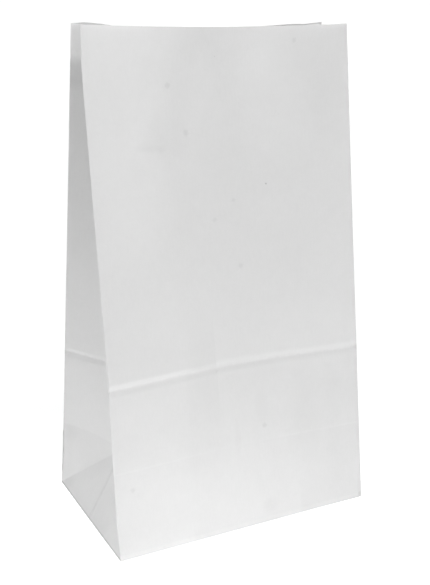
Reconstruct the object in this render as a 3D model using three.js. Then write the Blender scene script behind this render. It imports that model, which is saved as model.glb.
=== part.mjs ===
// A white paper grocery bag of the self-opening kind: one sheet folded into a tube with two
// tucked gussets and closed by a folded, glued base. It stands empty on that base with its
// mouth a little open. The front and back panels lean towards each other and bow inwards, and
// each gusset tucks in along its middle fold, from nothing at the base to nearly flat at the top.
//
// Millimetres, +Z up, origin at the middle of the base on the surface it stands on. The front
// panel faces -Y. Heights written as "paper height" are measured along the sheet, from the base fold.
import * as THREE from "three";

// Driving dimensions
const WIDTH = 180; // front and back panels
const DEPTH = 110; // gussets, and the short side of the base
const HEIGHT = 320; // sheet from the base fold to the top edge
const WALL = 0.8; // the solid's wall; the paper itself is a thin skin within it

// Folds across the sheet, at paper heights
const HALF_FOLD = DEPTH / 2 - 2; // where the tucked gusset opens out over the base
const FLAP_FOLD = DEPTH - 3; // the line that the folded-up base leaves on the flat bag

// Where the four corners of the mouth stand, front to back
const MOUTH = { frontLeft: -9, frontRight: -10, backLeft: 8.5, backRight: 19 };

// The middle fold of a gusset: how far it tucks in from the side, and its height, at the folds
const TUCK = [
  { s: 0, tuck: 0, z: 0, y: 0 },
  { s: HALF_FOLD, tuck: 24.3, z: 46, y: 0 },
  { s: FLAP_FOLD, tuck: 37, z: 98.5, y: 1 },
  { s: 200, tuck: 47.5, z: 191, y: 2.5 },
  { s: HEIGHT, tuck: 53.5, z: 311, y: 3 },
];

// How far the middle of a panel bows in from the line between its edges, and how far that
// lowers it, at paper heights
const FRONT_BOW = [
  { s: 0, bow: 0, drop: 0 },
  { s: HALF_FOLD, bow: 4.5, drop: 0.1 },
  { s: FLAP_FOLD, bow: 9, drop: 0.4 },
  { s: 200, bow: 10.5, drop: 0.9 },
  { s: HEIGHT, bow: 12, drop: 1.7 },
];
const BACK_BOW = [
  { s: 0, bow: 0, drop: 0 },
  { s: HALF_FOLD, bow: 6, drop: 0.3 },
  { s: FLAP_FOLD, bow: 12, drop: 0.8 },
  { s: 180, bow: 16, drop: 1.8 },
  { s: 260, bow: 9, drop: 2.9 },
  { s: HEIGHT, bow: 1, drop: 3.6 },
];

// How finely the sheet is divided
const PANEL_STEPS = 12; // across a panel
const GUSSET_STEPS = 4; // across half a gusset, and up to the half fold, so the diagonals fall on corners
const FLAP_STEPS = 3; // from the half fold to the flap fold
const UPPER_STEPS = 7; // from the flap fold to the top edge

const lerp = THREE.MathUtils.lerp;
const half = DEPTH / 2;

// A named value of a table at paper height s, on straight lines between its rows.
function at(table, name, s) {
  const i = Math.max(1, table.findIndex((row) => row.s >= s));
  const [a, b] = [table[i - 1], table[i]];
  return lerp(a[name], b[name], (s - a.s) / (b.s - a.s));
}

// A point on one of the four upright edges: side is -1 left or +1 right, face is -1 front or +1 back.
function edgePoint(side, face, s) {
  const top = MOUTH[(face < 0 ? "front" : "back") + (side < 0 ? "Left" : "Right")];
  const lean = (face * half - top) / HEIGHT;
  return new THREE.Vector3((side * WIDTH) / 2, face * half - lean * s, s * Math.sqrt(1 - lean * lean));
}

// A point on the middle fold of a gusset.
function tuckPoint(side, s) {
  return new THREE.Vector3(side * (WIDTH / 2 - at(TUCK, "tuck", s)), at(TUCK, "y", s), at(TUCK, "z", s));
}

// A point on the front or back panel, t across it from left to right.
function panelPoint(face, t, s) {
  const table = face < 0 ? FRONT_BOW : BACK_BOW;
  const across = Math.sin(Math.PI * t) ** 2;
  const p = edgePoint(-1, face, s).lerp(edgePoint(1, face, s), t);
  p.y -= face * at(table, "bow", s) * across;
  p.z -= at(table, "drop", s) * across;
  return p;
}

// A point on half of a gusset, h across it from the upright edge to the middle fold. Below the
// half fold a diagonal from the corner of the base parts two flat facets.
function gussetPoint(side, face, h, s) {
  if (s >= HALF_FOLD) return edgePoint(side, face, s).lerp(tuckPoint(side, s), h);
  const up = s / HALF_FOLD;
  const corner = edgePoint(side, face, 0);
  const apex = tuckPoint(side, HALF_FOLD);
  const third = up >= h ? edgePoint(side, face, HALF_FOLD) : tuckPoint(side, 0);
  const far = Math.max(up, h);
  const near = Math.min(up, h);
  return corner.multiplyScalar(1 - far).addScaledVector(third, far - near).addScaledVector(apex, near);
}

// Paper heights of the rings that the wall is made of.
function ringHeights() {
  const between = (from, to, steps) =>
    Array.from({ length: steps }, (_, i) => lerp(from, to, (i + 1) / steps));
  return [
    0,
    ...between(0, HALF_FOLD, GUSSET_STEPS),
    ...between(HALF_FOLD, FLAP_FOLD, FLAP_STEPS),
    ...between(FLAP_FOLD, HEIGHT, UPPER_STEPS),
  ];
}

// One ring of points round the bag, seen from above anticlockwise from the front left corner.
function ring(s) {
  const points = [];
  for (let i = 0; i < PANEL_STEPS; i++) points.push(panelPoint(-1, i / PANEL_STEPS, s));
  for (let i = 0; i < GUSSET_STEPS; i++) points.push(gussetPoint(1, -1, i / GUSSET_STEPS, s));
  for (let i = 0; i < GUSSET_STEPS; i++) points.push(gussetPoint(1, 1, 1 - i / GUSSET_STEPS, s));
  for (let i = 0; i < PANEL_STEPS; i++) points.push(panelPoint(1, 1 - i / PANEL_STEPS, s));
  for (let i = 0; i < GUSSET_STEPS; i++) points.push(gussetPoint(-1, 1, i / GUSSET_STEPS, s));
  for (let i = 0; i < GUSSET_STEPS; i++) points.push(gussetPoint(-1, -1, 1 - i / GUSSET_STEPS, s));
  return points;
}

// The sheet as points and triangles that face outwards: rings up the wall, then the base.
function sheet() {
  const rings = ringHeights().map(ring);
  const round = rings[0].length;
  const points = rings.flat();
  const triangles = [];
  const quad = (a, b, c, d, fromA) =>
    triangles.push(...(fromA ? [[a, b, c], [a, c, d]] : [[a, b, d], [b, c, d]]));

  // The wall. A quad is split along the way its gusset's diagonal runs.
  const halves = [PANEL_STEPS, GUSSET_STEPS, GUSSET_STEPS, PANEL_STEPS, GUSSET_STEPS, GUSSET_STEPS];
  const risesWithRing = halves.flatMap((steps, k) => Array(steps).fill(k === 1 || k === 4));
  for (let r = 0; r + 1 < rings.length; r++)
    for (let i = 0; i < round; i++) {
      const j = (i + 1) % round;
      const [low, high] = [r * round, (r + 1) * round];
      quad(low + i, low + j, high + j, high + i, risesWithRing[i]);
    }

  // The base, as a grid whose rim is the lowest ring.
  const sideSteps = 2 * GUSSET_STEPS;
  const baseIndex = (i, j) => {
    if (j === 0) return i;
    if (j === sideSteps) return PANEL_STEPS + sideSteps + (PANEL_STEPS - i);
    if (i === PANEL_STEPS) return PANEL_STEPS + j;
    if (i === 0) return (round - j) % round;
    return rings.length * round + (j - 1) * (PANEL_STEPS - 1) + (i - 1);
  };
  for (let j = 1; j < sideSteps; j++)
    for (let i = 1; i < PANEL_STEPS; i++) {
      const x = (i / PANEL_STEPS - 0.5) * WIDTH;
      const y = (j / sideSteps - 0.5) * DEPTH;
      points.push(new THREE.Vector3(x, y, 0));
    }
  for (let j = 0; j < sideSteps; j++)
    for (let i = 0; i < PANEL_STEPS; i++)
      quad(baseIndex(i, j), baseIndex(i, j + 1), baseIndex(i + 1, j + 1), baseIndex(i + 1, j), true);

  const mouth = Array.from({ length: round }, (_, i) => (rings.length - 1) * round + i);
  return { points, triangles, mouth };
}

// Moves every point in by the wall, so that it stays WALL from each face it belongs to, and no
// further than REACH walls at a tight fold.
function insetPoints(points, triangles) {
  const REACH = 4;
  const SOFTEN = 1e-3; // keeps the sums below solvable where all the faces round a point lie flat
  const sums = points.map(() => ({ m: new Array(9).fill(0), v: new THREE.Vector3() }));
  for (const triangle of triangles) {
    const [a, b, c] = triangle.map((i) => points[i]);
    const n = b.clone().sub(a).cross(c.clone().sub(a)).normalize();
    const parts = n.toArray();
    for (const i of triangle) {
      sums[i].v.add(n);
      for (let row = 0; row < 3; row++)
        for (let col = 0; col < 3; col++) sums[i].m[3 * row + col] += parts[row] * parts[col];
    }
  }
  return points.map((p, i) => {
    const { m, v } = sums[i];
    for (const diagonal of [0, 4, 8]) m[diagonal] += SOFTEN;
    const move = v.clone().applyMatrix3(new THREE.Matrix3().set(...m).invert());
    return p.clone().addScaledVector(move.clampLength(0, REACH), -WALL);
  });
}

// The sheet given its wall: outside, inside, and the rim of the mouth between them.
function bagGeometry() {
  const { points, triangles, mouth } = sheet();
  const inside = insetPoints(points, triangles);
  const shift = points.length;
  const faces = [
    ...triangles,
    ...triangles.map(([a, b, c]) => [a + shift, c + shift, b + shift]),
    ...mouth.flatMap((a, i) => {
      const b = mouth[(i + 1) % mouth.length];
      return [[a, b, b + shift], [a, b + shift, a + shift]];
    }),
  ];
  const geometry = new THREE.BufferGeometry().setFromPoints([...points, ...inside]);
  geometry.setIndex(faces.flat());
  geometry.computeVertexNormals();
  return geometry;
}

const whiteKraft = new THREE.MeshStandardMaterial({
  color: 0xe6e6e6,
  roughness: 0.75,
  metalness: 0,
});

const bag = new THREE.Mesh(bagGeometry(), whiteKraft);
bag.name = "paper_bag";

const group = new THREE.Group();
group.add(bag);
export default group;
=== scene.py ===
from bisect import bisect_right
from math import cos, hypot, pi, radians, sin, sqrt

import bmesh
import bpy
from bpy.props import FloatProperty, FloatVectorProperty, PointerProperty
from mathutils import Euler, Matrix, Vector, noise


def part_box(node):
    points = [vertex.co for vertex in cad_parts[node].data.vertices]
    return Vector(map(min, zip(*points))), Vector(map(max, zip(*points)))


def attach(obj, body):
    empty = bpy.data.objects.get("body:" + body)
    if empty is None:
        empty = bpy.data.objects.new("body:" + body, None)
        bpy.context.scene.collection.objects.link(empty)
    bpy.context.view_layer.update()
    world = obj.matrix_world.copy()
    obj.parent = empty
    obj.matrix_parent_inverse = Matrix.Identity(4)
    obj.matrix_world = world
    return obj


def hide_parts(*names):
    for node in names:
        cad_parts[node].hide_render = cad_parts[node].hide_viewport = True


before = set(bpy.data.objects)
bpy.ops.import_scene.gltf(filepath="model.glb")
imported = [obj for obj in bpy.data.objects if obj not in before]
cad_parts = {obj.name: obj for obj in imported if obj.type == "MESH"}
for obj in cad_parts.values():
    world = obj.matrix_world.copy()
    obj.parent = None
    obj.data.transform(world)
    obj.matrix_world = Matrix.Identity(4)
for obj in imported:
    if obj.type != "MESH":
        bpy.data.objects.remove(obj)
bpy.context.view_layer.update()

bl_info = {
    "name": "Paper Grocery Bag",
    "version": (1, 0, 0),
    "blender": (4, 5, 0),
    "location": "View3D > Sidebar > Bag",
    "description": "Folds a white paper grocery bag with tucked gussets and a block bottom",
    "category": "Add Mesh",
}

SOLID = "paper_bag"
LOW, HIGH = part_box(SOLID)
WIDTH = HIGH[0] - LOW[0]
DEPTH = HIGH[1] - LOW[1]
MM = 0.001

FRONT, RIGHT, BACK, LEFT, BASE = range(5)

# Where the folded sheet stands, in millimetres. The upright edges: height along the sheet, and how
# far back the edge is there
EDGES = {
    (LEFT, FRONT): [
        (0, -55), (12, -52.3), (60, -47), (107, -41.3),
        (200, -25.4), (270, -13), (296, -8.9), (320, -8.2),
    ],
    (RIGHT, FRONT): [(0, -55), (60, -46.6), (107, -40), (200, -26.8), (270, -17), (320, -10.1)],
    (LEFT, BACK): [(0, 55), (35, 48.6), (107, 38.4), (200, 25), (260, 16.5), (320, 8)],
    (RIGHT, BACK): [(0, 55), (60, 47.6), (107, 42), (200, 31.6), (260, 25), (320, 19)],
}
# The middle fold of a gusset: height along the sheet, how far it tucks in, its height, how far back
TUCK = [
    (0, 0, 0, 0), (51, 24.3, 45, 0), (107, 37, 98.5, 0.8), (200, 47.5, 190.5, 2), (320, 53.5, 309.5, 3.2),
]
# How a panel bows: height along the sheet, how far its middle bows in, and how far that lowers it.
# Across the panel the bow is a sine wave to a power
BOWS = {
    FRONT: [(0, 0, 0), (51, 3.6, 0.1), (107, 7.6, 0.4), (200, 9.8, 0.9), (320, 11.8, 1.7)],
    BACK: [(0, 0, 0), (51, 5, 0.3), (107, 10.5, 0.8), (190, 13, 1.8), (260, 8, 2.7), (320, 2.6, 3.4)],
}
BOW_POWER = 1.5

# The paper's top edge isn't quite level: how far it stands above the plain height at places across
# each panel, from 0 at the bag's left, or at a gusset's front, to 1
TRIM = {
    FRONT: [(0, 0.1), (0.3, -0.15), (0.7, -0.15), (0.86, -0.35), (0.94, -0.05), (1, 0.4)],
    BACK: [
        (0, 0.3), (0.05, 1.0), (0.085, 0.6), (0.117, 0.2), (0.157, -0.4), (0.2, -0.8), (0.3, -0.9),
        (0.65, -0.65), (0.72, -0.55), (0.87, -0.8), (0.915, -1.4), (0.955, -1.1), (1, -0.4),
    ],
    LEFT: [(0, 0.1), (0.5, 0.9), (0.8, 0.65), (1, 0.3)],
    RIGHT: [(0, 0.35), (0.5, 0.1), (1, -0.2)],
}
# The heights along the sheet, in metres, where this starts and where it is full
TRIM_START = 0.25
TRIM_FULL = 0.32

# The foot isn't quite square: how far each corner of the base stands from its place on the plain
# box, to the right and to the back, and the height where this ends, in millimetres
FOOT = {
    (LEFT, FRONT): (0.2, -1.9),
    (LEFT, BACK): (0.5, 1.6),
    (RIGHT, FRONT): (0.7, 0.6),
    (RIGHT, BACK): (0.0, 0.0),
}
FOOT_HEIGHT = 30
# How far in from its edge the base rises to its lift, in metres
BASE_RIM = 0.003
# Rounding takes this share of its radius off each fold, so the folds start that much further out
ROUNDING = 0.7


def curve_through(rows, column):
    """Returns a function that runs smoothly through one column of rows, by their first column."""
    xs = [row[0] for row in rows]
    ys = [row[column] for row in rows]
    neighbours = [(max(i - 1, 0), min(i + 1, len(xs) - 1)) for i in range(len(xs))]
    slopes = [(ys[b] - ys[a]) / (xs[b] - xs[a]) for a, b in neighbours]

    def value(x):
        i = min(max(bisect_right(xs, x) - 1, 0), len(xs) - 2)
        span = xs[i + 1] - xs[i]
        t = (x - xs[i]) / span
        rise = t * t * (3 - 2 * t)
        bend = span * t * (1 - t) * (slopes[i] * (1 - t) - slopes[i + 1] * t)
        return ys[i] * (1 - rise) + ys[i + 1] * rise + bend

    return value


def line_through(rows, column):
    """Returns a function that runs straight from row to row, for folds that have corners."""

    def value(x):
        i = min(max(bisect_right([row[0] for row in rows], x) - 1, 0), len(rows) - 2)
        a, b = rows[i], rows[i + 1]
        return a[column] + (b[column] - a[column]) * (x - a[0]) / (b[0] - a[0])

    return value


def smooth_step(x):
    x = min(max(x, 0.0), 1.0)
    return x * x * (3 - 2 * x)


def metres(name, description, default):
    """A length, in metres, that the user may change."""
    return FloatProperty(name=name, description=description, default=default, precision=5, unit="LENGTH")


def amount(name, description, default, most=1.0):
    """A share or a strength that the user may change."""
    return FloatProperty(name=name, description=description, default=default, min=0.0, soft_max=most)


class PaperBagSizes(bpy.types.PropertyGroup):
    sheet_height: metres("Sheet height", "Length of paper from the base fold to the mouth", 0.320)
    half_fold: metres("Half fold", "Height along the sheet of the fold over the lower facets", 0.051)
    flap_fold: metres("Flap fold", "Height of the line left by the base when it is folded up flat", 0.1073)
    half_crease: metres("Half crease", "Height of the faint crease at half the flap fold", 0.0543)
    paper: metres("Paper", "Thickness of the paper", 0.00012)
    base_lift: metres("Base lift", "Height of the base over the ground, with its flaps under it", 0.00055)
    flap_overlap: metres("Flap overlap", "How far each base flap reaches past the base's middle", 0.011)
    fold_radius: metres("Fold radius", "How wide the sheet's sharp folds are rounded", 0.00035)
    cell: metres("Cell", "Size of the sheet's cells away from its folds", 0.0032)


class FoldedSheet:
    """Knows where each point of the folded sheet stands. All lengths are metres."""

    def __init__(self, sizes):
        self.half_fold = sizes.half_fold
        self.lift = sizes.base_lift
        self.growth = ROUNDING * sizes.fold_radius
        self.edges = {}
        for key, rows in EDGES.items():
            back = curve_through(rows, 1)
            climb = [0.0]
            for step in range(round(sizes.sheet_height / MM)):
                lean = back(step + 1) - back(step)
                climb.append(climb[-1] + sqrt(1 - lean * lean))
            self.edges[key] = (back, climb)
        self.tuck = [line_through(TUCK, column) for column in (1, 2, 3)]
        self.bows = {face: [curve_through(rows, column) for column in (1, 2)] for face, rows in BOWS.items()}

    def edge(self, side, face, s):
        back, climb = self.edges[(side, face)]
        step = min(max(s / MM, 0.0), len(climb) - 1.0)
        low = min(int(step), len(climb) - 2)
        z = climb[low] + (climb[low + 1] - climb[low]) * (step - low)
        x = WIDTH / 2 + self.growth
        right, behind = FOOT[(side, face)]
        foot = 1 - smooth_step(step / FOOT_HEIGHT)
        x = (x if side == RIGHT else -x) + right * foot * MM
        return Vector((x, (back(step) + behind * foot) * MM, z * MM))

    def middle_fold(self, side, s):
        tuck, z, y = (f(s / MM) * MM for f in self.tuck)
        x = WIDTH / 2 - tuck
        return Vector((x if side == RIGHT else -x, y, z))

    def panel(self, face, t, s):
        bow, drop = self.bows[face]
        across = sin(pi * min(max(t, 0.0), 1.0)) ** BOW_POWER
        p = self.edge(LEFT, face, s).lerp(self.edge(RIGHT, face, s), t)
        inward = 1 if face == FRONT else -1
        p.y += inward * bow(s / MM) * MM * across
        p.z -= drop(s / MM) * MM * across
        return p

    def gusset(self, side, face, h, s):
        """h runs from 0 at the upright edge to 1 at the middle fold."""
        if s >= self.half_fold:
            return self.edge(side, face, s).lerp(self.middle_fold(side, s), h)
        up = s / self.half_fold
        corner = self.edge(side, face, 0)
        apex = self.middle_fold(side, self.half_fold)
        third = self.edge(side, face, self.half_fold) if up >= h else self.middle_fold(side, 0)
        far, near = max(up, h), min(up, h)
        return corner * (1 - far) + third * (far - near) + apex * near

    def base(self, x, y):
        inset = min(WIDTH / 2 - abs(x), DEPTH / 2 - abs(y))
        return Vector((x, y, self.lift * smooth_step(inset / BASE_RIM)))

    def place(self, panel, box_point):
        """Moves a point of the plain box to where it stands on the folded bag."""
        x, y, s = box_point
        if panel == BASE:
            return self.base(x, y)
        if panel in (FRONT, BACK):
            t = x / WIDTH + 0.5
            p = self.panel(panel, t, s)
        else:
            t = y / DEPTH + 0.5
            p = self.gusset(panel, FRONT if y < 0 else BACK, 1 - abs(y) / (DEPTH / 2), s)
        trimmed = smooth_step((s - TRIM_START) / (TRIM_FULL - TRIM_START))
        p.z += line_through(TRIM[panel], 1)(t) * MM * trimmed
        return p


# The sheet's relief, all in millimetres. Soft waves in the front and back panels: distance from the
# left edge, height along the sheet, half width, half height, and how far the paper stands out. They
# end at WAVE_RIM times their half width and height
WAVES = {
    FRONT: [
        (77, 62, 9, 40, 0.66), (66, 84, 7, 22, -0.35), (90, 58, 3, 12, 0.35), (109, 76, 4, 13, 0.35),
        (124, 60, 7, 34, 0.57), (140, 52, 7, 30, -0.44), (158, 66, 8, 30, 0.48), (62, 296, 14, 34, 0.75),
        (46, 252, 11, 9, -0.48),
    ],
    BACK: [
        (38, 66, 9, 38, 0.57), (97, 52, 7, 30, -0.44), (133, 72, 8, 30, 0.53), (120, 280, 15, 32, 0.66),
    ],
}
WAVE_RIM = 1.6
# Random cockling of the whole sheet, and how many times smaller the finer waves over it are
COCKLE_WIDTH = 46
COCKLE_HEIGHT = 70
COCKLE_RISE = 0.35
FINER = 2.7
FINER_RISE = 0.12
# Upright flutes in the lower part, which fade from a height on, over a length of sheet
FLUTE_WIDTH = 8.5
FLUTE_HEIGHT = 75
FLUTE_RISE = 0.11
FLUTE_TOP = 60
FLUTE_FADE = 110
# The sheet lies still at its base and moves less near its upright folds, where it bulges instead
STILL_BASE = 14
STILL_EDGE = 16
EDGE_SHARE = 0.25
BULGE_RISE = 0.26
BULGE_WIDTH = 5
BULGE_FULL = 150

# The groove that the folded-up base leaves across the panels: how far under the flap fold its bottom
# lies and how deep, each with how far and how widely that wanders and where in the noise, how far the
# groove reaches below and above, and how far up the sheet takes to settle again
GROOVE_DROP = 1.2
DROP_WANDER = (0.2, 22, (0.0, 1.3))
GROOVE_DEPTH = 0.45
DEPTH_WANDER = (0.06, 30, (4.0, 0.0))
GROOVE_BELOW = 3.9
GROOVE_ABOVE = 4.6
GROOVE_SETTLE = 40
# How far from a panel's left edge the sheet slipped as it was pressed, the share of the groove's upper
# side that is lost there, and how far that reaches before it, fades before it and fades after it
KINK = 76.5
KINK_LOSS = 0.32
KINK_START = 3
KINK_BEFORE = 20
KINK_AFTER = 9
# How the groove climbs and how its upper side changes from left to right: from where, over what width,
# and by how much
GROOVE_CLIMB = ((KINK - 16, 16, 0.5), (KINK, 90, 0.45))
UPPER_LEFT = 1.24
UPPER_CHANGE = ((15, 60, -0.54), (110, 50, 0.02))
# The faint crease at half that height: its depth and half width, and the place where it all but goes
CREASE_DEPTH = 0.085
CREASE_HALF_WIDTH = 1.3
CREASE_FAINTEST = 0.1
CREASE_GAP = 88
CREASE_GAP_WIDTH = 40

# The flap fold in a gusset: how far under its line it lies, how deep, and how far it reaches
PRESS_DROP = 0.7
PRESS_DEPTH = 0.75
PRESS_BELOW = 4.5
PRESS_ABOVE = 2.6
# The valley of the half fold: its depth, how far up it reaches, and how it fades
VALLEY_DEPTH = 2.6
VALLEY_REACH = 34
VALLEY_POWER = 1.3
# The lower facet: its depth, the groove of the middle fold in it, and how both fade at its ends
FACET_DEPTH = 0.5
FACET_GROOVE_DEPTH = 0.22
FACET_GROOVE_WIDTH = 1.6
FACET_FOOT_FADE = 8
FACET_TOP_FADE = 6


def relief(sizes, panel, u, s):
    """How far the paper stands out from its panel, in metres. u is the distance from the left
    edge of a panel as seen from outside, and s the height along the sheet."""
    u, s = u / MM, s / MM
    spot = Vector((u / COCKLE_WIDTH, s / COCKLE_HEIGHT, 7.0 * panel))
    out = COCKLE_RISE * noise.noise(spot) + FINER_RISE * noise.noise(spot * FINER)
    fade = 1 - smooth_step((s - FLUTE_TOP) / FLUTE_FADE)
    spot = Vector((u / FLUTE_WIDTH, s / FLUTE_HEIGHT, 3.0 + 5.0 * panel))
    out += FLUTE_RISE * fade * noise.noise(spot)
    for middle, height, half_width, half_height, rise in WAVES.get(panel, ()):
        away = hypot((u - middle) / half_width, (s - height) / half_height)
        out += rise * (1 - smooth_step(away / WAVE_RIM))
    across = (WIDTH if panel in (FRONT, BACK) else DEPTH) / MM
    edge = min(u, across - u)
    out *= smooth_step(s / STILL_BASE) * (EDGE_SHARE + (1 - EDGE_SHARE) * smooth_step(edge / STILL_EDGE))
    if panel in (FRONT, BACK):
        out += flap_groove(sizes.flap_fold / MM, u, s) + half_groove(sizes.half_crease / MM, u, s)
    else:
        out += gusset_folds(sizes.flap_fold / MM, sizes.half_fold / MM, u, s)
    out += BULGE_RISE * smooth_step(s / BULGE_FULL) * (1 - smooth_step(edge / BULGE_WIDTH))
    return out * MM


def changes(u, rows):
    """What smooth changes, each from a place and over a width, come to at u."""
    return sum(change * smooth_step((u - start) / width) for start, width, change in rows)


def wander(u, reach, width, place):
    return reach * noise.noise(Vector((u / width, *place)))


def flap_groove(flap_fold, u, s):
    """The line that the folded-up base leaves: a groove that is steepest just above the line, with a
    small kink where the sheet slipped as it was pressed."""
    line = flap_fold - GROOVE_DROP + wander(u, *DROP_WANDER)
    d = s - line - changes(u, GROOVE_CLIMB)
    lower = GROOVE_DEPTH + wander(u, *DEPTH_WANDER)
    if d < 0:
        return -lower * (1 - smooth_step(-d / GROOVE_BELOW))
    upper = UPPER_LEFT + changes(u, UPPER_CHANGE)
    from_kink = (KINK - KINK_START - u) / KINK_BEFORE if u < KINK else (u - KINK) / KINK_AFTER
    upper *= 1 - KINK_LOSS * (1 - smooth_step(from_kink))
    return -lower + upper * smooth_step(d / GROOVE_ABOVE) - (upper - lower) * smooth_step(d / GROOVE_SETTLE)


def half_groove(half_crease, u, s):
    """The faint crease across the panel at half the height of the flap fold."""
    shown = smooth_step(abs(u - CREASE_GAP) / CREASE_GAP_WIDTH)
    depth = CREASE_DEPTH * (CREASE_FAINTEST + (1 - CREASE_FAINTEST) * shown)
    return -depth * (1 - smooth_step(abs(s - half_crease) / CREASE_HALF_WIDTH))


def gusset_folds(flap_fold, half_fold, u, s):
    """The folds across a gusset and down its lower facet. h runs from 0 at an upright edge to 1 at
    the middle fold."""
    half = DEPTH / MM / 2
    across = abs(u - half)
    h = 1 - across / half
    d = s - flap_fold + PRESS_DROP
    out = -PRESS_DEPTH * (1 - smooth_step(abs(d) / (PRESS_BELOW if d < 0 else PRESS_ABOVE)))
    # the half fold is a shallow valley between the flap fold and the diagonals
    diagonal = half_fold * h
    if s > half_fold:
        valley = max(0.0, 1 - (s - half_fold) / VALLEY_REACH) ** VALLEY_POWER
    else:
        valley = max(0.0, (s - diagonal) / max(half_fold - diagonal, 1e-6))
    out -= VALLEY_DEPTH * valley * sin(pi * h)
    # the middle fold runs on down the lower facet
    if s < diagonal:
        facet = FACET_DEPTH * (1 - across / max(half * (1 - s / half_fold), 1e-6))
        groove = FACET_GROOVE_DEPTH * (1 - smooth_step(across / FACET_GROOVE_WIDTH))
        fade = smooth_step(s / FACET_FOOT_FADE) * smooth_step((half_fold - s) / FACET_TOP_FADE)
        out -= fade * (facet + groove)
    return out


def context_object(name):
    """Names the object that was just added, and its data."""
    made = bpy.context.object
    made.name = name
    made.data.name = name
    return made


def cut_places(start, end, folds, cell):
    """Places to cut from start to end: every fold with its close neighbours, and even cells between."""
    stops = {start, end}
    for fold, gaps in folds:
        stops.add(fold)
        stops.update(fold + gap for gap in gaps)
        stops.update(fold - gap for gap in gaps)
    stops = sorted(stop for stop in stops if start <= stop <= end)
    places = stops[1:-1]
    for a, b in zip(stops, stops[1:]):
        count = max(round((b - a) / cell), 1)
        places += [a + (b - a) * i / count for i in range(1, count)]
    return sorted(places)


def select_where(obj, kind, wanted):
    """Goes to edit mode and selects the vertices, edges or faces that pass a test."""
    bpy.ops.object.mode_set(mode="EDIT")
    bpy.ops.mesh.select_mode(type=kind)
    bpy.ops.mesh.select_all(action="DESELECT")
    mesh = bmesh.from_edit_mesh(obj.data)
    for part in {"VERT": mesh.verts, "EDGE": mesh.edges, "FACE": mesh.faces}[kind]:
        if wanted(part):
            part.select_set(True)
    bmesh.update_edit_mesh(obj.data)


def panel_of(normal):
    if normal.z < -0.5:
        return BASE
    if abs(normal.y) > 0.5:
        return FRONT if normal.y < 0 else BACK
    return RIGHT if normal.x > 0 else LEFT


def sheet_place(panel, x, y, s):
    """Distance from the left edge of a panel as seen from outside, and the height along the sheet."""
    if panel == BASE:
        return x + WIDTH / 2, y + DEPTH / 2
    across = {FRONT: x, RIGHT: y, BACK: -x, LEFT: -y}[panel]
    return across + (WIDTH if panel in (FRONT, BACK) else DEPTH) / 2, s


# Where each panel starts on the unrolled tube, so that the sheet's map runs on round its corners
MAP_START = {LEFT: 0.0, FRONT: DEPTH, RIGHT: DEPTH + WIDTH, BACK: 2 * DEPTH + WIDTH, BASE: DEPTH}
# How many metres of sheet the map holds each way, and how high on it the base fold lies
MAP_SIZE = 0.62
BASE_DROP = 0.14

# How close to a fold the sheet is also cut, in metres
EDGE_GAPS = (0.0007, 0.0020)
FOLD_GAPS = (0.0008, 0.0016)
CREASE_GAPS = (0.0006, 0.0013)
KINK_GAPS = (0.0005, 0.0015)
GROOVE_GAPS = [i * 0.0008 for i in range(1, 8)]
# The angle from which a fold is rounded, and up to which the sheet is smooth
SHARP_FOLD = radians(30)
SMOOTH_FOLD = radians(35)


def make_box_with_folds(sizes):
    """A plain open box at the sheet's size, cut along every fold and into small cells."""
    height = sizes.sheet_height
    bpy.ops.object.select_all(action="DESELECT")
    bpy.ops.mesh.primitive_cube_add(size=1, location=(0, 0, height / 2), scale=(WIDTH, DEPTH, height))
    bag = context_object("bag_sheet")
    bpy.ops.object.transform_apply()
    select_where(bag, "FACE", lambda face: face.normal.z > 0.5)
    bpy.ops.mesh.delete(type="FACE")

    across = [(0, EDGE_GAPS), (sizes.half_fold, FOLD_GAPS), (sizes.half_crease, CREASE_GAPS)]
    across += [(sizes.flap_fold, GROOVE_GAPS), (height, EDGE_GAPS)]
    upright = [(-WIDTH / 2, EDGE_GAPS), (KINK * MM - WIDTH / 2, KINK_GAPS), (WIDTH / 2, EDGE_GAPS)]
    tucked = [(-DEPTH / 2, EDGE_GAPS), (0, FOLD_GAPS), (DEPTH / 2, EDGE_GAPS)]
    rows = cut_places(0, height, across, sizes.cell)
    columns = cut_places(-WIDTH / 2, WIDTH / 2, upright, sizes.cell)
    ranks = cut_places(-DEPTH / 2, DEPTH / 2, tucked, sizes.cell)
    for axis, places in ((2, rows), (0, columns), (1, ranks)):
        normal = Vector((0, 0, 0))
        normal[axis] = 1
        for place in places:
            bpy.ops.mesh.select_all(action="SELECT")
            bpy.ops.mesh.bisect(plane_co=normal * place, plane_no=normal)

    # the gussets' diagonals, from the corners of the base to the middle folds
    for side in (-1, 1):

        def is_on_lower_half(face):
            centre = face.calc_center_median()
            return abs(face.normal.x) > 0.5 and centre.z < sizes.half_fold and centre.y * side > 0

        select_where(bag, "FACE", is_on_lower_half)
        across_diagonal = Vector((0, sizes.half_fold, side * DEPTH / 2))
        bpy.ops.mesh.bisect(plane_co=(0, side * DEPTH / 2, 0), plane_no=across_diagonal)
    bpy.ops.mesh.select_all(action="DESELECT")
    bpy.ops.object.mode_set(mode="OBJECT")
    return bag


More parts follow.
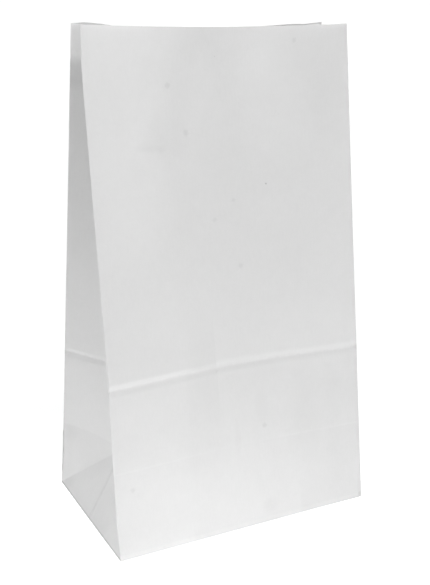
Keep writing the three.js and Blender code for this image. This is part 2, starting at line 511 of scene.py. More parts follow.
def fold_box(bag, sizes):
    """Gives the box its sheet map, then moves every point to where the folded sheet stands."""
    sheet = FoldedSheet(sizes)
    mesh = bmesh.new()
    mesh.from_mesh(bag.data)
    mesh.normal_update()
    sheet_map = mesh.loops.layers.uv.new("sheet")
    box_points = {vert: vert.co.copy() for vert in mesh.verts}
    owners = {vert: {panel_of(face.normal) for face in vert.link_faces} for vert in mesh.verts}
    for face in mesh.faces:
        panel = panel_of(face.normal)
        for loop in face.loops:
            u, v = sheet_place(panel, *loop.vert.co)
            drop = 0.0 if panel == BASE else BASE_DROP
            loop[sheet_map].uv = ((MAP_START[panel] + u) / MAP_SIZE, (v + drop) / MAP_SIZE)
    for vert, point in box_points.items():
        vert.co = sheet.place(min(owners[vert]), point)
    mesh.normal_update()
    moves = {}
    for vert, point in box_points.items():
        panel = min(owners[vert])
        if len(owners[vert]) == 1 and panel != BASE:
            u, s = sheet_place(panel, *point)
            moves[vert] = vert.normal * relief(sizes, panel, u, s)
    for vert, move in moves.items():
        vert.co += move
    mesh.to_mesh(bag.data)
    mesh.free()


def round_folds(bag, sizes):
    """Rounds the sharp folds of the walls a little. The folds round the base stay crisp."""

    def is_sharp(edge):
        height = max(vert.co.z for vert in edge.verts)
        is_fold = len(edge.link_faces) == 2 and height > 2 * sizes.base_lift
        return is_fold and edge.calc_face_angle(0.0) > SHARP_FOLD

    select_where(bag, "EDGE", is_sharp)
    bpy.ops.mesh.bevel(offset=sizes.fold_radius, segments=2, affect="EDGES")
    bpy.ops.object.mode_set(mode="OBJECT")


def give_thickness(piece, sizes):
    """Thickens the sheet inwards. The piece has to be the active object."""
    thick = piece.modifiers.new("paper", "SOLIDIFY")
    thick.thickness = sizes.paper
    thick.offset = -1
    bpy.ops.object.modifier_apply(modifier=thick.name)


class PAPERBAG_OT_sheet(bpy.types.Operator):
    """Fold the sheet of the bag: panels, gussets and base"""

    bl_idname = "paperbag.sheet"
    bl_label = "Folded sheet"

    def execute(self, context):
        sizes = context.scene.paper_bag_sizes
        bag = make_box_with_folds(sizes)
        fold_box(bag, sizes)
        round_folds(bag, sizes)
        give_thickness(bag, sizes)
        bpy.ops.object.shade_smooth_by_angle(angle=SMOOTH_FOLD)
        bag.data.materials.append(white_kraft(context.scene.paper_bag_look, sizes))
        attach(bag, "root")
        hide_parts(SOLID)
        return {"FINISHED"}


# How far the flaps' outer edges stay in from the base's, how much less than half its depth the end
# flaps reach, and the air between flaps that lie on each other
FLAP_MARGIN = 0.00015
END_FLAP_MARGIN = 0.001
FLAP_GAP = 0.00002


def make_flap(name, side, reach, inner, layer, sizes):
    """One flat flap under the base: a plane whose two inner corners are moved in. side is where it
    hangs, reach how far it reaches in from there, and inner the length it keeps at that end."""
    bottom = layer * (sizes.paper + FLAP_GAP)
    outward = {FRONT: (0, -1), BACK: (0, 1), LEFT: (-1, 0), RIGHT: (1, 0)}[side]
    span = (DEPTH if outward[0] else WIDTH) - 2 * FLAP_MARGIN
    middle = (WIDTH if outward[0] else DEPTH) / 2 - FLAP_MARGIN - reach / 2
    bpy.ops.object.select_all(action="DESELECT")
    bpy.ops.mesh.primitive_plane_add(size=1, location=(outward[0] * middle, outward[1] * middle, bottom))
    flap = context_object(name)
    flap.scale = (reach, span, 1) if outward[0] else (span, reach, 1)
    bpy.ops.object.transform_apply()
    select_where(flap, "VERT", lambda vert: vert.co.x * outward[0] + vert.co.y * outward[1] < middle)
    if inner > 0:
        shrink = inner / span
        bpy.ops.transform.resize(value=(1, shrink, 1) if outward[0] else (shrink, 1, 1))
    else:
        bpy.ops.mesh.merge(type="CENTER")
    bpy.ops.object.mode_set(mode="OBJECT")
    if flap.data.polygons[0].normal.z > 0:
        flap.data.flip_normals()
    give_thickness(flap, sizes)
    return flap


def map_flat(piece):
    """Gives a flat piece under the base its part of the sheet's map."""
    mesh = piece.data
    sheet_map = mesh.uv_layers.new(name="sheet")
    for loop in mesh.loops:
        x, y, _ = mesh.vertices[loop.vertex_index].co
        u, v = sheet_place(BASE, x, y, 0)
        sheet_map.data[loop.index].uv = ((MAP_START[BASE] + u) / MAP_SIZE, v / MAP_SIZE)


class PAPERBAG_OT_base_flaps(bpy.types.Operator):
    """Lay the glued flaps under the base: the two ends first, then the back flap and the front flap"""

    bl_idname = "paperbag.base_flaps"
    bl_label = "Base flaps"

    def execute(self, context):
        sizes = context.scene.paper_bag_sizes
        paper = white_kraft(context.scene.paper_bag_look, sizes)
        reach = DEPTH / 2 + sizes.flap_overlap
        inner = WIDTH - 2 * reach
        end_reach = DEPTH / 2 - END_FLAP_MARGIN
        plans = (
            ("base_end_left", LEFT, end_reach, 0, 2),
            ("base_end_right", RIGHT, end_reach, 0, 2),
            ("base_flap_back", BACK, reach, inner, 1),
            ("base_flap_front", FRONT, reach, inner, 0),
        )
        for name, side, reach, inner, layer in plans:
            flap = make_flap(name, side, reach, inner, layer, sizes)
            map_flat(flap)
            flap.data.materials.append(paper)
            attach(flap, "root")
        return {"FINISHED"}


class PaperBagLook(bpy.types.PropertyGroup):
    paper_colour: FloatVectorProperty(
        name="Paper", description="Colour of the clean paper", default=(0.80, 0.80, 0.80),
        min=0, max=1, subtype="COLOR",
    )
    roughness: amount("Roughness", "How matt the paper is", 0.68)
    cloud_depth: amount("Clouds", "How much wide clouds change the paper", 0.030)
    blotch_depth: amount("Blotches", "How much small blotches change it", 0.030)
    mottle_depth: amount("Mottle", "How much the fine mottle changes it", 0.035)
    strand_depth: amount("Fibres", "How much single fibres change it", 0.03)
    # the painted highlight along the folds: how much lighter they are
    fold_highlight_depth: amount("Rubbing", "How much lighter the folds are rubbed", 0.05)
    tooth: amount("Tooth", "Strength of the paper's fine relief", 0.35)
    glow_depth: metres("Glow depth", "How far light spreads in the paper, which lets some through", 0.0003)


class NodeBench:
    """A new material, with short ways to add and join its nodes."""

    def __init__(self, name):
        self.material = bpy.data.materials.new(name)
        self.material.use_nodes = True
        self.tree = self.material.node_tree
        self.shader = self.tree.nodes["Principled BSDF"]

    def fill(self, node, inputs):
        """Sets or joins the inputs of a node, told by their names or numbers."""
        for key, value in inputs.items():
            if isinstance(value, bpy.types.NodeSocket):
                self.tree.links.new(value, node.inputs[key])
            else:
                node.inputs[key].default_value = value

    def add(self, kind, inputs):
        node = self.tree.nodes.new("ShaderNode" + kind)
        self.fill(node, inputs)
        return node

    def maths(self, operation, *values):
        node = self.add("Math", dict(enumerate(values)))
        node.operation = operation
        return node.outputs[0]

    def vectors(self, operation, *values):
        node = self.add("VectorMath", dict(enumerate(values)))
        node.operation = operation
        return node.outputs["Value" if operation in ("DISTANCE", "LENGTH") else "Vector"]

    def times(self, a, b):
        return self.maths("MULTIPLY", a, b)

    def added(self, a, b, share=1.0):
        """a plus a share of b, where the share may be a number or a value."""
        return self.maths("MULTIPLY_ADD", b, share, a)

    def around(self, value, share):
        """A share of value, moved so that its middle, 0.5, becomes nothing."""
        return self.added(-0.5 * share, value, share)

    def apart(self, a, b):
        """How far apart two values are."""
        return self.maths("ABSOLUTE", self.maths("SUBTRACT", a, b))

    def ramp(self, value, low, high, start, end=0.0):
        """Runs smoothly from start to end while value goes from low to high, and stops there."""
        inputs = {"Value": value, "From Min": low, "From Max": high, "To Min": start, "To Max": end}
        node = self.add("MapRange", inputs)
        node.interpolation_type = "SMOOTHSTEP"
        return node.outputs["Result"]

    def stripe(self, value, middle, inner, outer, depth):
        """A soft line: depth up to inner away from its middle, and nothing from outer away on."""
        return self.ramp(self.apart(value, middle), inner, outer, depth)

    def grain(self, where, scale, detail, stretch=(1, 1, 1)):
        """Noise from 0 to 1 whose blotches are about 1 / scale metres wide."""
        stretched = self.add("Mapping", {"Vector": where, "Scale": stretch}).outputs["Vector"]
        inputs = {"Vector": stretched, "Scale": scale, "Detail": detail}
        return self.add("TexNoise", inputs).outputs["Fac"]

    def away(self, where, spot, half_width, half_height):
        """How far a place is from a spot, where 1 is the rim of an ellipse round it."""
        middle = (-spot[0] / half_width, -spot[1] / half_height, 0)
        inputs = {"Vector": where, "Location": middle, "Scale": (1 / half_width, 1 / half_height, 0)}
        return self.vectors("LENGTH", self.add("Mapping", inputs).outputs["Vector"])


# Specks in the paper: distance from the panel's left edge, height along the sheet, radius, all in
# millimetres, and how much darker than the paper
SPECKS = {
    FRONT: [
        (55.7, 285.1, 2.2, 0.08), (143.5, 311, 1.7, 0.065), (66.8, 256.3, 2.3, 0.085),
        (90, 302.3, 0.8, 0.09), (119.8, 221.2, 0.75, 0.36), (96.8, 212.2, 1.6, 0.05),
        (82.8, 200.9, 1.9, 0.05), (99, 170.2, 2.0, 0.06), (108, 64, 2.0, 0.075),
        (12.1, 42.2, 1.9, 0.06), (76.7, 104.8, 1.2, 0.05), (178.4, 2.2, 1.9, 0.12),
    ],
    BACK: [(38, 262, 1.9, 0.09), (121, 204, 0.8, 0.35), (66, 148, 2.1, 0.09), (139, 77, 1.9, 0.09)],
    RIGHT: [(31, 233, 1.7, 0.09), (84, 131, 0.9, 0.25)],
    LEFT: [(88, 240, 1.4, 0.05)],
}
# Smudges and painted shade, with half a width and half a height; painted light has a negative last number
SMUDGES_AND_PAINTED_SHADE = {
    FRONT: [
        # painted light and shade round the mouth and down the upper part
        (18, 270, 38, 85, -0.078), (128, 276, 26, 42, -0.045), (88, 326, 40, 26, 0.085),
        (36, 328, 22, 20, 0.06), (140, 330, 40, 20, 0.03), (66, 290, 13, 28, 0.034),
        (74, 316, 11, 18, 0.02), (54, 258, 13, 20, 0.034), (44, 254, 10, 13, 0.02),
        (43, 248.5, 11, 2.6, 0.022), (49.5, 247.3, 2.6, 2.2, 0.018), (38, 250, 7, 3.5, 0.022),
        (82, 304, 13, 22, 0.02), (97, 302, 14, 24, 0.012), (168, 275, 16, 38, 0.014),
        (82, 200, 36, 60, 0.024),
        # painted light and shade round the flap fold
        (152, 122, 40, 28, -0.036), (44, 124, 42, 18, 0.006),
        # painted shade and light in upright bands down the lower part, and a smudge near the foot
        (65, 78, 14, 34, 0.016), (57, 68, 3.5, 34, 0.012), (88.5, 59, 2.6, 14, 0.026),
        (107.5, 78, 5, 13, 0.02), (138, 66, 11, 38, 0.02), (160, 72, 7, 32, 0.012),
        (121, 55, 5, 36, -0.006), (81, 92, 4, 20, -0.005), (108.5, 11.5, 6, 5, 0.035),
        (160, 32, 9, 20, 0.014),
    ],
    BACK: [
        (70, 290, 20, 34, 0.022), (118, 268, 14, 30, 0.022), (52, 70, 10, 34, 0.02),
        (128, 62, 7, 36, 0.02),
        # painted shade in the corners of the mouth
        (168, 321, 22, 6, 0.1), (22, 321, 26, 6, 0.1),
    ],
    RIGHT: [(30, 70, 8, 26, 0.014)],
    LEFT: [
        # painted light at the top of the gusset's back half, which catches the light over the front, and
        # painted shade under it
        (3, 318, 24, 16, -0.26), (3, 307, 22, 8, -0.06), (3, 292, 22, 9, 0.08),
        # painted shade and light down the rest of the gusset
        (1, 6, 16, 16, 0.06), (5, 46, 10, 8, 0.035), (20, 235, 60, 78, 0.04), (20, 34, 40, 30, 0.024),
        (96, 10, 16, 14, -0.03),
    ],
}
# Where the colour of a speck, and of a smudge or a patch of painted light and shade, starts to fade and
# where it ends, as shares of its size
SPECK_RIM = (0.35, 1.15)
SMUDGE_AND_PAINTED_SHADE_RIM = (0.3, 1.35)
# How far the outlines of specks, smudges and patches of painted light and shade wander, in metres, and how
# often they do so in a metre
RAGGEDNESS = 0.0018
RAGGED_SCALE = 700
# Painted light and shade where the glued end flaps of the base show through the foot of the front and back
# panels: from and to which distance from the left edge, up to which height, and how much darker, or lighter
# where this is negative. It starts to fade at a share of that height
END_FLAP_PAINTED_LIGHT_AND_SHADE = (
    (FRONT, 0, 52, 15, -0.026), (FRONT, 132, 180, 30, 0.028),
    (BACK, 0, 50, 22, 0.014), (BACK, 128, 180, 14, -0.018),
)
END_FLAP_FADE = 0.3
# The paper's grain: how many blotches it has to a metre, how finely they break up, how they stretch
CLOUDS = (28, 2.0)
BLOTCHES = (150, 3.0)
MOTTLE = (620, 3.0)
STRANDS = (900, 2.0, (1.0, 0.16, 1.0))
RUB_PATCHES = (260, 2.0)
PATCH_RIM = (0.35, 0.7)
TOOTH = (1500, 3.0)
# What the blotches and the fibres add to the tooth, and how high it stands, in metres
TOOTH_BLOTCHES = 0.6
TOOTH_FIBRES = 0.5
TOOTH_HEIGHT = 0.00012
# How much the mottle, between two of its values, and the rubbing change how matt the paper is
MATT_SPAN = (0.3, 0.7)
MATT_LESS = 0.05
MATT_MORE = 0.06
MATT_RUBBED = 0.08
# The gussets' middle folds and all the upright folds, as distances round the unrolled tube
GUSSET_FOLDS = (DEPTH / 2, 1.5 * DEPTH + WIDTH)
UPRIGHT_FOLDS = (0, DEPTH, DEPTH + WIDTH, 2 * DEPTH + WIDTH, 2 * DEPTH + 2 * WIDTH, *GUSSET_FOLDS)

# Soft lines of painted light and shade along folds, in metres: how far over its fold the line lies, the half
# width of its middle, how far out it ends, and how much lighter than the paper it is. The rubbed folds, with
# their painted highlight, lie on their line
RUB_AND_HIGHLIGHT_UPRIGHT = (0.0001, 0.0011, 1.0)
RUB_AND_HIGHLIGHT_ACROSS = (0.0001, 0.001, 0.6)
# Painted light and shade at the flap fold, and what changes before and after the place where the sheet
# slipped
GROOVE_PAINTED_LIGHT = (0.0028, 0.0004, 0.0028, 0.014)
GROOVE_PAINTED_SHADE = (-0.0012, 0.0002, 0.0018, -0.028)
SLIP_LESS_PAINTED_LIGHT = (0.0024, 0.0006, 0.0026, -0.018)
SLIP_PAINTED_SHADE = (0.0, 0.012, 0.045, -0.02)
SLIP_PAINTED_LIGHT = (0.003, 0.0008, 0.0026, 0.022)
SLIP_EDGE = 0.0004
BEFORE_SLIP = (-0.027, -0.012)
AFTER_SLIP = (0.006, 0.03)
PAINTED_SHADE_START = 0.06
PAINTED_SHADE_FULL = 0.15
PAINTED_SHADE_LEAST = 0.3
# Painted light and shadow at the foot of the panels, and a painted highlight on the crease at half the
# height of the flap fold
FOOT_PAINTED_LIGHT = (0.0022, 0.0004, 0.0016, 0.024)
FOOT_PAINTED_SHADOW = (0.0002, 0.0009, -0.035)
CREASE_PAINTED_HIGHLIGHT = (0.0, 0.0002, 0.0011, 0.022)
CREASE_SHOWN = (0.01, 0.05, 0.1)
# The gussets' lower facets: darker along their middle fold, a painted shadow where they meet the base, and
# painted shade on the facets themselves, darkest just under the diagonals, and painted shade that ends at
# the half fold
FACET_FOLD = (0.0003, 0.0019, -0.065)
FACET_FOLD_TOP = (0.044, 0.051)
FACET_FOOT_PAINTED_SHADOW = (0.0004, 0.0018, -0.24)
FACET_EDGE = 0.0008
FACET_PAINTED_SHADE = (-0.02, FACET_EDGE, -0.01, -0.062)
HALF_FOLD_PAINTED_SHADE = -0.034


def add_spots(bench, shade, ragged_place, spots, rim, shift):
    """Takes specks, or smudges and patches of painted light and shade, off the shade. Specks have one half
    size and the others two.
    """
    for panel, rows in spots.items():
        for u, s, *half_sizes, depth in rows:
            spot = (MAP_START[panel] + u * MM + shift, s * MM + BASE_DROP + shift)
            away = bench.away(ragged_place, spot, half_sizes[0] * MM, half_sizes[-1] * MM)
            shade = bench.maths("SUBTRACT", shade, bench.ramp(away, *rim, depth))
    return shade


def add_marks(bench, shade, ragged_place):
    """Takes the specks, the smudges and patches of painted light and shade, and the painted light and shade
    where the end flaps show through, off the shade.
    """
    shade = add_spots(bench, shade, ragged_place, SPECKS, SPECK_RIM, RAGGEDNESS / 2)
    # smudges, and patches of painted light and shade
    shade = add_spots(bench, shade, ragged_place, SMUDGES_AND_PAINTED_SHADE, SMUDGE_AND_PAINTED_SHADE_RIM, 0)
    split = bench.add("SeparateXYZ", {0: ragged_place})
    # painted light and shade where the glued end flaps show through
    for panel, start, end, height, depth in END_FLAP_PAINTED_LIGHT_AND_SHADE:
        middle = MAP_START[panel] + (start + end) / 2 * MM
        reach = (end - start) / 2 * MM
        beside = bench.stripe(split.outputs["X"], middle, reach - MM, reach + MM, 1.0)
        fading = (BASE_DROP + END_FLAP_FADE * height * MM, BASE_DROP + height * MM)
        low = bench.ramp(split.outputs["Y"], *fading, depth)
        shade = bench.added(shade, bench.times(beside, low), -1.0)
    return shade


def fold_rub_and_highlight(bench, place, x, s, sizes):
    """How much the folds are rubbed, which also gives them a painted highlight, from 0 to 1: in patches, and
    less along the folds across.
    """
    rub_and_highlight = 0.0
    for fold in UPRIGHT_FOLDS:
        rub_and_highlight = bench.maths("MAXIMUM", rub_and_highlight, bench.stripe(x, fold, *RUB_AND_HIGHLIGHT_UPRIGHT))
    for fold in (0, sizes.flap_fold):
        rub_and_highlight = bench.maths("MAXIMUM", rub_and_highlight, bench.stripe(s, fold, *RUB_AND_HIGHLIGHT_ACROSS))
    patchy = bench.ramp(bench.grain(place, *RUB_PATCHES), *PATCH_RIM, 0.0, 1.0)
    return bench.times(rub_and_highlight, patchy)


def paint_panel_fold_shade(bench, shade, x, s, start, sizes):
    """Paints light and shade along the folds across the front or back panel, which starts at x = start."""
    from_middle = bench.apart(x, start + WIDTH / 2)
    on_panel = bench.ramp(from_middle, WIDTH / 2 - MM, WIDTH / 2, 1.0)
    # painted light just over the line that the folded-up base left, painted shade just under it, more to the
    # right
    over_fold = bench.maths("SUBTRACT", s, sizes.flap_fold)
    painted_share = bench.ramp(x, start + PAINTED_SHADE_START, start + PAINTED_SHADE_FULL, PAINTED_SHADE_LEAST, 1.0)
    painted_share = bench.times(painted_share, on_panel)
    lines = bench.added(bench.stripe(over_fold, *GROOVE_PAINTED_LIGHT), bench.stripe(over_fold, *GROOVE_PAINTED_SHADE))
    shade = bench.added(shade, painted_share, lines)
    # up to where the sheet slipped there is painted shade and the painted light line fades, to start again
    # there
    slip = start + KINK * MM
    slip_edge = (slip - SLIP_EDGE, slip + SLIP_EDGE)
    slipped = bench.ramp(x, *slip_edge, 0.0, 1.0)
    not_slipped = bench.ramp(x, *slip_edge, 1.0)
    nearing = bench.ramp(x, slip + BEFORE_SLIP[0], slip + BEFORE_SLIP[1], 0.0, 1.0)
    before = bench.times(nearing, not_slipped)
    leaving = bench.ramp(x, slip + AFTER_SLIP[0], slip + AFTER_SLIP[1], 1.0)
    after = bench.times(slipped, leaving)
    lines = bench.added(bench.stripe(over_fold, *SLIP_LESS_PAINTED_LIGHT), bench.stripe(over_fold, *SLIP_PAINTED_SHADE))
    shade = bench.added(shade, before, lines)
    shade = bench.added(shade, after, bench.stripe(over_fold, *SLIP_PAINTED_LIGHT))
    # painted light a little over the foot, over a thin line of painted shadow at the base fold
    lines = bench.added(bench.stripe(s, *FOOT_PAINTED_LIGHT), bench.ramp(s, *FOOT_PAINTED_SHADOW))
    shade = bench.added(shade, lines, on_panel)
    # the half crease has a thin painted highlight that the middle of the panel all but lacks
    faint = bench.times(bench.ramp(from_middle, *CREASE_SHOWN, 1.0), on_panel)
    over_crease = bench.maths("SUBTRACT", s, sizes.half_crease)
    return bench.added(shade, faint, bench.stripe(over_crease, *CREASE_PAINTED_HIGHLIGHT))


def shade_facets(bench, shade, x, s, fold, sizes):
    """Paints shade on the lower facets of the gusset whose middle fold is at x = fold, and darkens their
    middle fold.
    """
    away = bench.apart(x, fold)
    low = bench.ramp(s, *FACET_FOLD_TOP, 1.0)
    shade = bench.added(shade, bench.ramp(away, *FACET_FOLD), low)
    # how far over the diagonals: they rise from the base fold's ends to the half fold's middle
    diagonal = bench.added(sizes.half_fold, away, -sizes.half_fold / (DEPTH / 2))
    over = bench.maths("SUBTRACT", s, diagonal)
    # painted shade on the facets, darkest just under the diagonals
    facet = bench.ramp(over, -FACET_EDGE, FACET_EDGE, 1.0)
    facet = bench.times(facet, bench.ramp(over, *FACET_PAINTED_SHADE))
    # painted shadow where the facets meet the base
    facet = bench.added(facet, bench.ramp(s, *FACET_FOOT_PAINTED_SHADOW))
    # painted shade up to the half fold
    half_fold = (sizes.half_fold - MM, sizes.half_fold + MM)
    facet = bench.added(facet, bench.ramp(s, *half_fold, HALF_FOLD_PAINTED_SHADE))
    on_gusset = bench.ramp(away, DEPTH / 2 - MM / 2, DEPTH / 2, 1.0)
    return bench.added(shade, facet, on_gusset)


def white_kraft(look, sizes):
    """Matt white kraft paper: cloudy and finely mottled, specked and smudged, rubbed along its folds, and
    with painted light and shade along its folds, on its gussets and in patches.
    """
    bench = NodeBench("white_kraft")
    place = bench.add("TexCoord", {}).outputs["Object"]
    sheet_map = bench.add("UVMap", {})
    sheet_map.uv_map = "sheet"
    inputs = {"Vector": sheet_map.outputs["UV"], "Scale": (MAP_SIZE, MAP_SIZE, MAP_SIZE)}
    on_sheet = bench.add("Mapping", inputs).outputs["Vector"]
    # x is the distance round the unrolled tube, and s the height along the sheet
    split = bench.add("SeparateXYZ", {0: on_sheet})
    x = split.outputs["X"]
    s = bench.maths("SUBTRACT", split.outputs["Y"], BASE_DROP)

    # how the fibres lie
    blotches = bench.grain(place, *BLOTCHES)
    mottle = bench.grain(place, *MOTTLE)
    strands = bench.grain(on_sheet, *STRANDS)
    shade = bench.around(bench.grain(place, *CLOUDS), look.cloud_depth)
    finer = ((blotches, look.blotch_depth), (mottle, look.mottle_depth), (strands, look.strand_depth))
    for grain, depth in finer:
        shade = bench.added(shade, bench.around(grain, depth))

    # the marks with the patches of painted light and shade, the rubbed folds with their painted highlight,
    # and the painted light and shade of each panel and gusset
    ragged = bench.add("TexNoise", {"Vector": place, "Scale": RAGGED_SCALE}).outputs["Color"]
    ragged_place = bench.vectors("MULTIPLY_ADD", ragged, (RAGGEDNESS, RAGGEDNESS, 0), on_sheet)
    shade = add_marks(bench, shade, ragged_place)
    rub_and_highlight = fold_rub_and_highlight(bench, place, x, s, sizes)
    # the rubbed folds get a painted highlight
    shade = bench.added(shade, rub_and_highlight, look.fold_highlight_depth)
    for panel in (FRONT, BACK):
        shade = paint_panel_fold_shade(bench, shade, x, s, MAP_START[panel], sizes)
    for fold in GUSSET_FOLDS:
        shade = shade_facets(bench, shade, x, s, fold, sizes)

    lightness = bench.maths("ADD", shade, 1.0)
    grey = bench.add("CombineColor", dict.fromkeys(("Red", "Green", "Blue"), lightness))
    tint = bench.add("Mix", {})
    tint.data_type = "RGBA"
    tint.blend_type = "MULTIPLY"
    bench.fill(tint, {"Factor": 1.0, "A": (*look.paper_colour, 1), "B": grey.outputs["Color"]})
    # the tooth of the paper, and its matt surface, a little rougher where it is rubbed
    tooth = bench.added(bench.grain(place, *TOOTH), blotches, TOOTH_BLOTCHES)
    tooth = bench.added(tooth, strands, TOOTH_FIBRES)
    bump = bench.add("Bump", {"Strength": look.tooth, "Distance": TOOTH_HEIGHT, "Height": tooth})
    roughness = bench.ramp(mottle, *MATT_SPAN, look.roughness - MATT_LESS, look.roughness + MATT_MORE)
    surface = {
        "Base Color": tint.outputs["Result"],
        "Roughness": bench.added(roughness, rub_and_highlight, MATT_RUBBED),
        "Specular IOR Level": 0.28,
        "Subsurface Weight": 1.0,
        "Subsurface Radius": (1, 1, 1),
        "Subsurface Scale": look.glow_depth,
        "Normal": bump.outputs["Normal"],
    }
    bench.fill(bench.shader, surface)
    return bench.material


class PaperBagStage(bpy.types.PropertyGroup):
    room_light: amount("Room light", "Strength of the even light", 0.15)
    key_light: amount("Key light", "Strength of the high light at the front", 0.90, 10)
    front_light: amount("Front light", "Strength of the low soft light at the front", 0.84, 10)
    left_light: amount("Left light", "Strength of the soft light at the left", 0.74, 10)
    back_light: amount("Back light", "Strength of the soft light behind", 0.36, 10)
    corner_light: amount("Corner light", "Power of the small lamp at the mouth", 0.03)
    floor_glow: amount("Floor glow", "How much the floor shines", 0.50)
    edge_glow: amount("Edge glow", "How much more the floor shines close round the base", 0.26)


# Spots where the floor shines more: the middle, from where to where the shine falls, and how much it
# is. Then from where to where the shine round the base falls
GLOW_SPOTS = (
    ((-0.25, 0.0, 0.0), 0.08, 0.3, 0.11),
    ((-0.12, 0.16, 0.0), 0.05, 0.25, 0.13),
    ((-0.05, -0.13, 0.0), 0.032, 0.12, 0.566),
    ((0.03, -0.12, 0.0), 0.024, 0.09, 0.245),
    ((0.21, 0.0, 0.0), 0.06, 0.16, 0.09),
)
EDGE_GLOW_FADE = (0.004, 0.045)
# The floor is a disc whose rim widens and climbs like a bowl, and the backdrop a wall round the middle
FLOOR_RADIUS = 4
BOWL_SPREAD = 15
BOWL_HEIGHT = 5
WALL_RADIUS = 12
WALL_HEIGHT = 14
WALL_GLOW = 1.1
WHITE = (1, 1, 1, 1)

# The wide lamps, in degrees: the angle over the floor, the angle from +X of the side that the light
# comes from, and how wide the lamp is, which softens its shadows
WIDE_LAMPS = (
    ("key_light", 50, 300, 15),
    ("front_light", 10, 300, 45),
    ("left_light", 40, 180, 45),
    ("back_light", 25, 140, 45),
)
# The small lamp over the mouth's left corner: its place and what it shines at, from that corner
CORNER_LAMP = (-0.0045, -0.0015, 0.031)
CORNER_TARGET = (-0.0005, 0.004, -0.020)
CORNER_BEAM = 42
CORNER_SOFTNESS = 0.7
CORNER_RADIUS = 0.005

# The camera: its place, the way it looks from +Y towards +X and down, and its turn to the left, in
# degrees, its lens and sensor in millimetres, and how far the frame is shifted
CAMERA_PLACE = (-0.2800, -0.5418, 0.3314)
CAMERA_YAW = 27.53
CAMERA_PITCH = 16.01
CAMERA_ROLL = 0.75
CAMERA_LENS = 59.384615
CAMERA_SENSOR = 36
CAMERA_SHIFT = (-0.00119658, -0.02905983)
CAMERA_REACH = 100


def glowing_floor(stage):
    """White floor that shines evenly, and more in soft round spots near the bag."""
    bench = NodeBench("floor_white")
    place = bench.add("TexCoord", {}).outputs["Object"]
    # the distance from the base of the bag: nothing on it, and growing on all sides
    beside = bench.vectors("SUBTRACT", bench.vectors("ABSOLUTE", place), (WIDTH / 2, DEPTH / 2, 0))
    beside = bench.vectors("LENGTH", bench.vectors("MAXIMUM", beside, (0, 0, 0)))
    glow = bench.added(stage.floor_glow, bench.ramp(beside, *EDGE_GLOW_FADE, 1.0), stage.edge_glow)
    for middle, inner, outer, extra in GLOW_SPOTS:
        away = bench.vectors("DISTANCE", place, middle)
        glow = bench.added(glow, bench.ramp(away, inner, outer, extra))
    surface = {
        "Base Color": (0.9, 0.9, 0.9, 1),
        "Roughness": 0.9,
        "Specular IOR Level": 0.1,
        "Emission Color": WHITE,
        "Emission Strength": glow,
    }
    bench.fill(bench.shader, surface)
    return bench.material


def add_floor(stage):
    """The pale floor, whose rim climbs all round."""
    bpy.ops.mesh.primitive_circle_add(vertices=96, radius=FLOOR_RADIUS, fill_type="NGON")
    floor = context_object("floor")
    select_where(floor, "EDGE", lambda edge: True)
    bpy.ops.mesh.extrude_edges_indiv()
    bpy.ops.transform.resize(value=(BOWL_SPREAD, BOWL_SPREAD, BOWL_SPREAD))
    bpy.ops.transform.translate(value=(0, 0, BOWL_HEIGHT))
    bpy.ops.object.mode_set(mode="OBJECT")
    floor.data.materials.append(glowing_floor(stage))


def add_backdrop():
    """A white wall all round, far off, that only the camera sees."""
    middle = (0, 0, WALL_HEIGHT / 2)
    bpy.ops.mesh.primitive_cylinder_add(
        vertices=96, radius=WALL_RADIUS, depth=WALL_HEIGHT, end_fill_type="NOTHING", location=middle
    )
    wall = context_object("backdrop")
    bpy.ops.object.transform_apply()
    bench = NodeBench("backdrop_white")
    surface = {"Base Color": (0, 0, 0, 1), "Emission Color": WHITE, "Emission Strength": WALL_GLOW}
    bench.fill(bench.shader, surface)
    wall.data.materials.append(bench.material)
    for rays in ("diffuse", "glossy", "transmission", "shadow"):
        setattr(wall, "visible_" + rays, False)


def add_room_light(strength):
    """Even white light from all round."""
    world = bpy.data.worlds.new("studio")
    world.use_nodes = True
    background = world.node_tree.nodes["Background"]
    background.inputs["Color"].default_value = WHITE
    background.inputs["Strength"].default_value = strength
    bpy.context.scene.world = world


def add_wide_lamp(name, height, bearing, spread, strength):
    height, bearing = radians(height), radians(bearing)
    toward = Vector((cos(height) * cos(bearing), cos(height) * sin(bearing), sin(height)))
    bpy.ops.object.light_add(type="SUN", location=2 * toward)
    lamp = context_object(name)
    lamp.rotation_euler = toward.to_track_quat("Z", "Y").to_euler()
    lamp.data.energy = strength
    lamp.data.angle = radians(spread)


def add_corner_lamp(strength):
    """A small lamp over the fold at the mouth's left corner, out of the picture."""
    corner = Vector((-WIDTH / 2, 0, HIGH[2]))
    place = corner + Vector(CORNER_LAMP)
    away = place - corner - Vector(CORNER_TARGET)
    bpy.ops.object.light_add(type="SPOT", location=place)
    lamp = context_object("corner_light")
    lamp.rotation_euler = away.to_track_quat("Z", "Y").to_euler()
    lamp.data.energy = strength
    lamp.data.spot_size = radians(CORNER_BEAM)
    lamp.data.spot_blend = CORNER_SOFTNESS
    lamp.data.shadow_soft_size = CORNER_RADIUS
    lamp.visible_camera = False


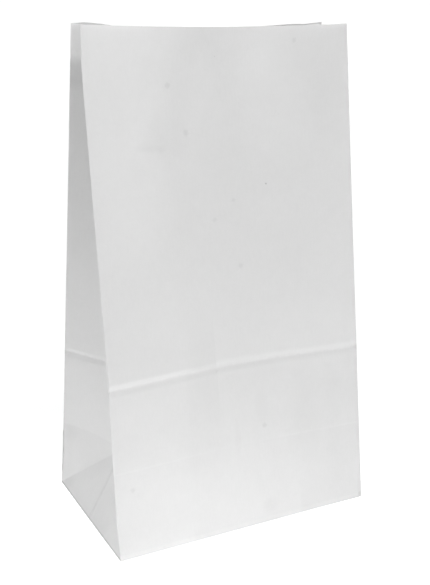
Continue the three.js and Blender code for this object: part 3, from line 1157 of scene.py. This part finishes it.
def add_camera():
    bpy.ops.object.camera_add(location=CAMERA_PLACE)
    camera = context_object("camera")
    camera.data.sensor_width = CAMERA_SENSOR
    camera.data.lens = CAMERA_LENS
    camera.data.shift_x, camera.data.shift_y = CAMERA_SHIFT
    camera.data.clip_end = CAMERA_REACH
    turn = Euler((radians(90 - CAMERA_PITCH), 0, radians(-CAMERA_YAW))).to_matrix()
    turn = turn @ Matrix.Rotation(radians(CAMERA_ROLL), 3, "Z")
    camera.rotation_euler = turn.to_euler()
    bpy.context.scene.camera = camera


class PAPERBAG_OT_stage(bpy.types.Operator):
    """Set up the pale floor, the soft light and the camera"""

    bl_idname = "paperbag.stage"
    bl_label = "Stage"

    def execute(self, context):
        stage = context.scene.paper_bag_stage
        bpy.ops.object.select_all(action="DESELECT")
        add_floor(stage)
        add_backdrop()
        add_room_light(stage.room_light)
        for lamp in WIDE_LAMPS:
            add_wide_lamp(*lamp, getattr(stage, lamp[0]))
        add_corner_lamp(stage.corner_light)
        add_camera()
        context.scene.view_settings.view_transform = "Standard"
        return {"FINISHED"}


class PAPERBAG_PT_panel(bpy.types.Panel):
    """Lists the bag's sizes, looks and pieces"""

    bl_idname = "PAPERBAG_PT_panel"
    bl_label = "Paper Grocery Bag"
    bl_space_type = "VIEW_3D"
    bl_region_type = "UI"
    bl_category = "Bag"

    def draw(self, context):
        scene = context.scene
        for group in (scene.paper_bag_sizes, scene.paper_bag_look, scene.paper_bag_stage):
            column = self.layout.column(align=True)
            for name in group.__annotations__:
                column.prop(group, name)
        column = self.layout.column(align=True)
        for piece in ("sheet", "base_flaps", "stage"):
            column.operator("paperbag." + piece)


CLASSES = (
    PaperBagSizes, PaperBagLook, PaperBagStage,
    PAPERBAG_OT_sheet, PAPERBAG_OT_base_flaps, PAPERBAG_OT_stage, PAPERBAG_PT_panel,
)


def register():
    for cls in CLASSES:
        bpy.utils.register_class(cls)
    bpy.types.Scene.paper_bag_sizes = PointerProperty(type=PaperBagSizes)
    bpy.types.Scene.paper_bag_look = PointerProperty(type=PaperBagLook)
    bpy.types.Scene.paper_bag_stage = PointerProperty(type=PaperBagStage)


def unregister():
    del bpy.types.Scene.paper_bag_stage
    del bpy.types.Scene.paper_bag_look
    del bpy.types.Scene.paper_bag_sizes
    for cls in reversed(CLASSES):
        bpy.utils.unregister_class(cls)


def main():
    register()
    bpy.ops.paperbag.stage()
    bpy.ops.paperbag.sheet()
    bpy.ops.paperbag.base_flaps()


if __name__ == "__main__":
    main()
